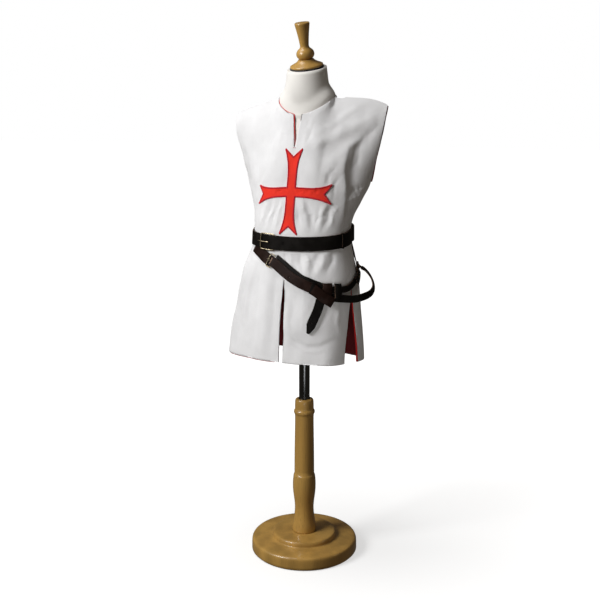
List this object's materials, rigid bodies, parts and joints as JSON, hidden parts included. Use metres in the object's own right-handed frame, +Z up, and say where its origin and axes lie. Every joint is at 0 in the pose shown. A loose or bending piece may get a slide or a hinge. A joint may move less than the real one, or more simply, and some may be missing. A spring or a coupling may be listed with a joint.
{
  "type": "medieval surcoat with belt and sword hanger on a limbless dress form with a turned wooden stand",
  "caption": "Sleeveless surcoat with a cross applique and red lining, belted with a sword hanger, on a limbless dress form with a pole stand.",
  "frame": {"origin": "centre of the underside of the base, on the axis of the stand", "axes": "+Z up along the pole, -Y the way the garment's front faces, +X the wearer's left"},
  "size_m": [0.432, 0.3, 1.4454],
  "materials": {
    "white_cloth": "matt white cotton twill",
    "red_lining": "dark red plain-weave lining",
    "red_applique": "red woollen cloth, satin-stitched edge",
    "leather": "dark brown strap leather, paler cut edges",
    "brass": "antique brass",
    "jersey": "cream jersey cover",
    "turned_wood": "varnished light hardwood",
    "steel": "polished dark steel",
    "dark_felt": "dark felt washer"
  },
  "bodies": {
    "stand": {"stand_base": "turned_wood", "stand_column": "turned_wood"},
    "pole": {"stand_pole": "steel"},
    "form": {"surcoat_front_outer": "white_cloth", "surcoat_back_outer": "white_cloth", "surcoat_front_lining": "red_lining", "surcoat_back_lining": "red_lining", "cross_applique": "red_applique", "waist_belt": "leather", "belt_keeper": "leather", "buckle_frame": "brass", "buckle_prong": "brass", "hanger_upper_strap": "leather", "hanger_under_strap": "leather", "hanger_front_strap": "leather", "hanger_knot": "leather", "hanger_tail": "leather", "hanger_side_run": "leather", "hanger_rear_strap": "leather", "hanger_side_loop": "leather", "hanger_junction": "leather", "hanger_keeper": "leather", "hanger_rivet": "brass", "hanger_buckle": "brass", "hanger_prong": "brass", "form_torso": "jersey", "form_neck_spacer": "dark_felt", "form_neck_cap": "turned_wood", "form_finial": "turned_wood"}
  },
  "joints": [
    {"name": "height_slide", "type": "slide", "parent": "stand", "child": "pole", "axis": [0, 0, 1], "range_m": [-0.05, 0.15]},
    {"name": "form_turn", "type": "hinge", "parent": "pole", "child": "form", "pos_m": [0, 0, 0.83], "axis": [0, 0, 1], "continuous": true}
  ]
}
